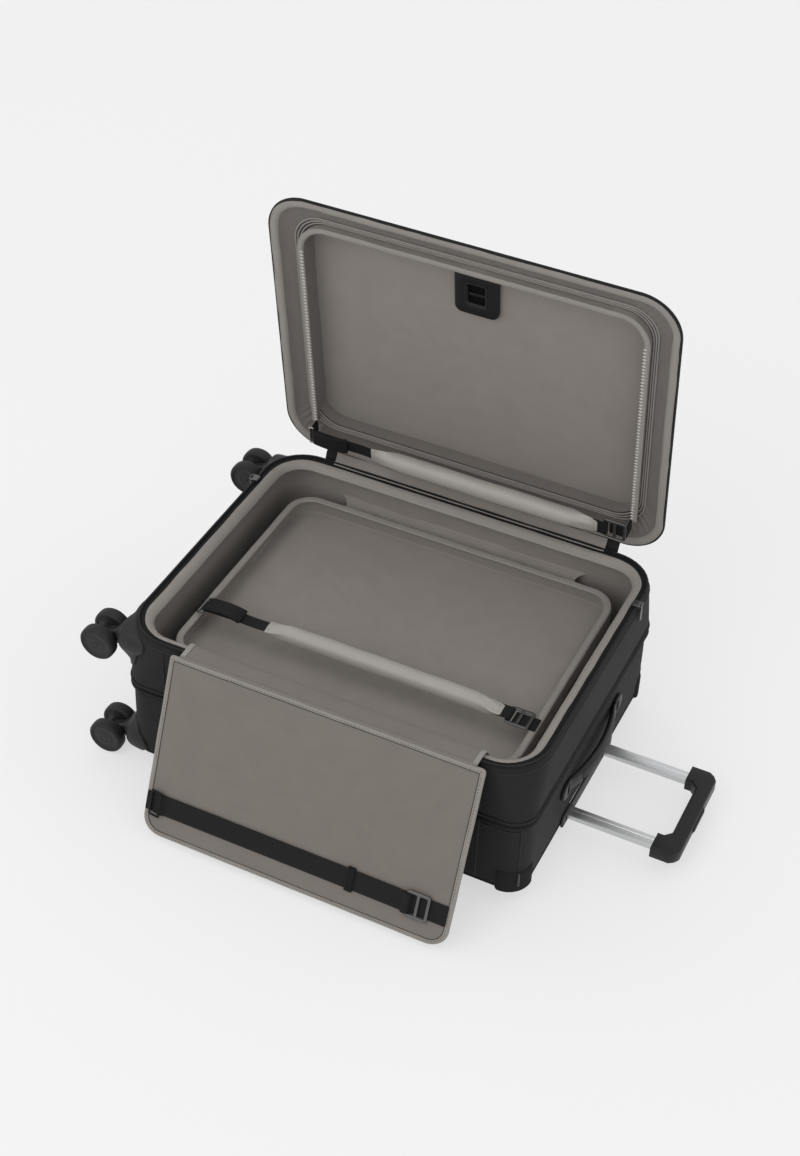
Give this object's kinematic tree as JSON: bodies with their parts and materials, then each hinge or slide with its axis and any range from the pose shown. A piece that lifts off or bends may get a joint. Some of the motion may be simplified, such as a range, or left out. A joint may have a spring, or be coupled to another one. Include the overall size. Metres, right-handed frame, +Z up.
{
  "type": "suitcase",
  "caption": "Soft-sided spinner suitcase, open on its back: hinged lid, lift-up suiter tray, fold-out garment panel, crease rolls, telescopic handle and swivel casters.",
  "frame": {"origin": "centre of the flat back panel's outer face", "axes": "+X towards the pull handle end, +Y towards the lid's hinge side, +Z up out of the open case as it lies on its back"},
  "size_m": [0.8295, 0.6148, 0.7103],
  "materials": {
    "shell_fabric": "woven nylon, matte",
    "zip_tape": "woven zip tape with coil",
    "lining_fabric": "plain polyester lining",
    "edge_tape": "folded binding tape, stitched",
    "roll_fabric": "satin-weave cover over foam",
    "webbing": "ribbed webbing",
    "hook_metal": "gunmetal plating",
    "moulded_plastic": "fine moulded texture",
    "tube_aluminium": "satin anodised",
    "wheel_rubber": "matte polyurethane tread"
  },
  "bodies": {
    "base": {"base_lower_shell": "shell_fabric", "base_upper_frame": "shell_fabric", "belt_zip_band": "zip_tape", "base_lining": "lining_fabric", "base_rim_tape": "edge_tape", "base_zip_half": "zip_tape", "corner_bumpers": "moulded_plastic", "handle_sleeves": "tube_aluminium", "handle_bezel": "moulded_plastic", "carry_handle_anchors": "moulded_plastic", "lid_hinge_leaf": "shell_fabric", "lid_hinge_cord": "shell_fabric", "tray_hinge_leaf": "lining_fabric", "tray_hinge_cord": "lining_fabric", "zip_sliders": "hook_metal", "caster_guard_front_top": "moulded_plastic", "caster_guard_front_bottom": "moulded_plastic", "caster_guard_back_top": "moulded_plastic", "caster_guard_back_bottom": "moulded_plastic"},
    "lid": {"lid_shell": "shell_fabric", "lid_rim_tape": "edge_tape", "lid_zip_half": "zip_tape", "lid_lining": "lining_fabric", "suiter_ring": "edge_tape", "suiter_lid_panel": "lining_fabric", "hanger_plate": "moulded_plastic", "lid_hinge_sleeve": "shell_fabric", "back_roll_anchors": "webbing"},
    "tray": {"tray_board": "lining_fabric", "tray_wall": "lining_fabric", "tray_edge_tape": "edge_tape", "front_roll_anchors": "webbing"},
    "flap": {"fold_flap": "lining_fabric"},
    "panel": {"fold_panel": "lining_fabric", "panel_strap_anchors": "webbing"},
    "panel_strap": {"panel_strap": "webbing", "panel_strap_hook": "hook_metal"},
    "front_roll": {"front_roll": "roll_fabric", "front_roll_strap": "webbing", "front_roll_hook": "hook_metal"},
    "back_roll": {"back_roll": "roll_fabric", "back_roll_strap": "webbing", "back_roll_hook": "hook_metal"},
    "handle_mid": {"handle_mid_tubes": "tube_aluminium"},
    "handle_inner": {"handle_inner_tubes": "tube_aluminium", "grip_shell": "moulded_plastic"},
    "grip_button": {"grip_button": "moulded_plastic", "release_rods": "hook_metal"},
    "carry_handle": {"carry_handle": "webbing"},
    "zip_pull_left": {"zip_pull_left": "hook_metal"},
    "zip_pull_right": {"zip_pull_right": "hook_metal"},
    "fork_front_top": {"caster_fork_front_top": "moulded_plastic"},
    "wheels_front_top": {"caster_wheels_front_top": "wheel_rubber"},
    "fork_front_bottom": {"caster_fork_front_bottom": "moulded_plastic"},
    "wheels_front_bottom": {"caster_wheels_front_bottom": "wheel_rubber"},
    "fork_back_top": {"caster_fork_back_top": "moulded_plastic"},
    "wheels_back_top": {"caster_wheels_back_top": "wheel_rubber"},
    "fork_back_bottom": {"caster_fork_back_bottom": "moulded_plastic"},
    "wheels_back_bottom": {"caster_wheels_back_bottom": "wheel_rubber"}
  },
  "joints": [
    {"name": "lid_hinge", "type": "hinge", "parent": "base", "child": "lid", "pos_m": [0, 0.2345, 0.227], "axis": [-1, 0, 0], "range_deg": [-82, 98]},
    {"name": "tray_lift", "type": "hinge", "parent": "base", "child": "tray", "pos_m": [0, 0.199, 0.17745], "axis": [-1, 0, 0], "range_deg": [0, 60]},
    {"name": "flap_fold", "type": "hinge", "parent": "tray", "child": "flap", "pos_m": [0.015, -0.194, 0.17995], "axis": [1, 0, 0], "range_deg": [-100, 0]},
    {"name": "panel_fold", "type": "hinge", "parent": "flap", "child": "panel", "pos_m": [0.015, -0.242, 0.227], "axis": [1, 0, 0], "range_deg": [-146, 0]},
    {"name": "panel_strap_release", "type": "hinge", "parent": "panel", "child": "panel_strap", "pos_m": [-0.187, -0.33048, 0.03204], "axis": [0, -0.3746, -0.9272], "range_deg": [0, 100]},
    {"name": "front_roll_release", "type": "hinge", "parent": "tray", "child": "front_roll", "pos_m": [-0.2427, -0.097, 0.1851], "axis": [0, -1, 0], "range_deg": [0, 100]},
    {"name": "back_roll_release", "type": "hinge", "parent": "lid", "child": "back_roll", "pos_m": [-0.24102, 0.21259, 0.27441], "axis": [0, 0.1392, -0.9903], "range_deg": [0, 50]},
    {"name": "handle_mid_slide", "type": "slide", "parent": "base", "child": "handle_mid", "axis": [1, 0, 0], "range_m": [0, 0.2]},
    {"name": "handle_inner_slide", "type": "slide", "parent": "handle_mid", "child": "handle_inner", "axis": [1, 0, 0], "range_m": [-0.122, 0.2]},
    {"name": "grip_button_press", "type": "slide", "parent": "handle_inner", "child": "grip_button", "axis": [1, 0, 0], "range_m": [-0.003, 0], "stiffness_N_per_m": 600, "springref_m": 0.002},
    {"name": "carry_handle_pull", "type": "slide", "parent": "base", "child": "carry_handle", "axis": [1, 0, 0], "range_m": [0, 0.012], "stiffness_N_per_m": 400},
    {"name": "zip_pull_swing_left", "type": "hinge", "parent": "base", "child": "zip_pull_left", "pos_m": [-0.3036, 0.138, 0.22695], "axis": [0, 1, 0], "range_deg": [0, 150]},
    {"name": "zip_pull_swing_right", "type": "hinge", "parent": "base", "child": "zip_pull_right", "pos_m": [0.3036, 0.138, 0.22695], "axis": [0, -1, 0], "range_deg": [0, 150]},
    {"name": "caster_swivel_front_top", "type": "hinge", "parent": "base", "child": "fork_front_top", "pos_m": [-0.3, -0.205, 0.196], "axis": [1, 0, 0], "continuous": true},
    {"name": "wheel_spin_front_top", "type": "hinge", "parent": "fork_front_top", "child": "wheels_front_top", "pos_m": [-0.339, -0.205, 0.179], "axis": [0, 1, 0], "continuous": true},
    {"name": "caster_swivel_front_bottom", "type": "hinge", "parent": "base", "child": "fork_front_bottom", "pos_m": [-0.3, -0.205, 0.017], "axis": [1, 0, 0], "continuous": true},
    {"name": "wheel_spin_front_bottom", "type": "hinge", "parent": "fork_front_bottom", "child": "wheels_front_bottom", "pos_m": [-0.339, -0.205, 0], "axis": [0, 1, 0], "continuous": true},
    {"name": "caster_swivel_back_top", "type": "hinge", "parent": "base", "child": "fork_back_top", "pos_m": [-0.3, 0.205, 0.196], "axis": [1, 0, 0], "continuous": true},
    {"name": "wheel_spin_back_top", "type": "hinge", "parent": "fork_back_top", "child": "wheels_back_top", "pos_m": [-0.339, 0.205, 0.179], "axis": [0, 1, 0], "continuous": true},
    {"name": "caster_swivel_back_bottom", "type": "hinge", "parent": "base", "child": "fork_back_bottom", "pos_m": [-0.3, 0.205, 0.017], "axis": [1, 0, 0], "continuous": true},
    {"name": "wheel_spin_back_bottom", "type": "hinge", "parent": "fork_back_bottom", "child": "wheels_back_bottom", "pos_m": [-0.339, 0.205, 0], "axis": [0, 1, 0], "continuous": true}
  ]
}
